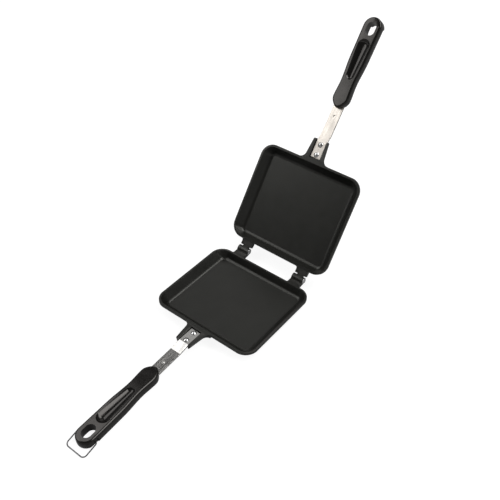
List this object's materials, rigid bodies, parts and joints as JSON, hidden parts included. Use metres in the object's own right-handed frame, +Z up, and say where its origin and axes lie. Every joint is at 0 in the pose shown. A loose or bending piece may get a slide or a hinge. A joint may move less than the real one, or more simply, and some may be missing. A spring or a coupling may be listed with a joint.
{
  "type": "pie iron",
  "caption": "Hinged square pie iron with two coated pans on long handles, lying open, with a wire latch at the handle tip.",
  "frame": {"origin": "middle of the lower pan's flat base", "axes": "+Z up from the table that the open iron stands on, with the base's hinge edge and the lower handle's heel on it; +Y from the handle of the lower pan towards the hinge; +X along the hinge"},
  "size_m": [0.146, 0.5464, 0.2698],
  "materials": {
    "coated_aluminium": "satin",
    "bright_steel": "polished",
    "brushed_steel": "satin",
    "rivet_steel": "polished",
    "black_bakelite": "satin",
    "spring_wire": "satin"
  },
  "bodies": {
    "lower_half": {"lower_pan": "coated_aluminium", "left_hinge_pin": "bright_steel", "right_hinge_pin": "bright_steel", "lower_strap": "brushed_steel", "lower_inner_rivet": "rivet_steel", "lower_outer_rivet": "rivet_steel", "lower_handle": "black_bakelite"},
    "upper_half": {"upper_pan": "coated_aluminium", "upper_strap": "brushed_steel", "upper_inner_rivet": "rivet_steel", "upper_outer_rivet": "rivet_steel", "upper_handle": "black_bakelite"},
    "bail": {"latch_bail": "spring_wire"}
  },
  "joints": [
    {"name": "pan_hinge", "type": "hinge", "parent": "lower_half", "child": "upper_half", "pos_m": [0, 0.07224, 0.01121], "axis": [1, 0, 0], "range_deg": [0, 125]},
    {"name": "bail_pivot", "type": "hinge", "parent": "lower_half", "child": "bail", "pos_m": [0, -0.24259, 0.00445], "axis": [1, 0, 0], "range_deg": [-167, 147]}
  ]
}
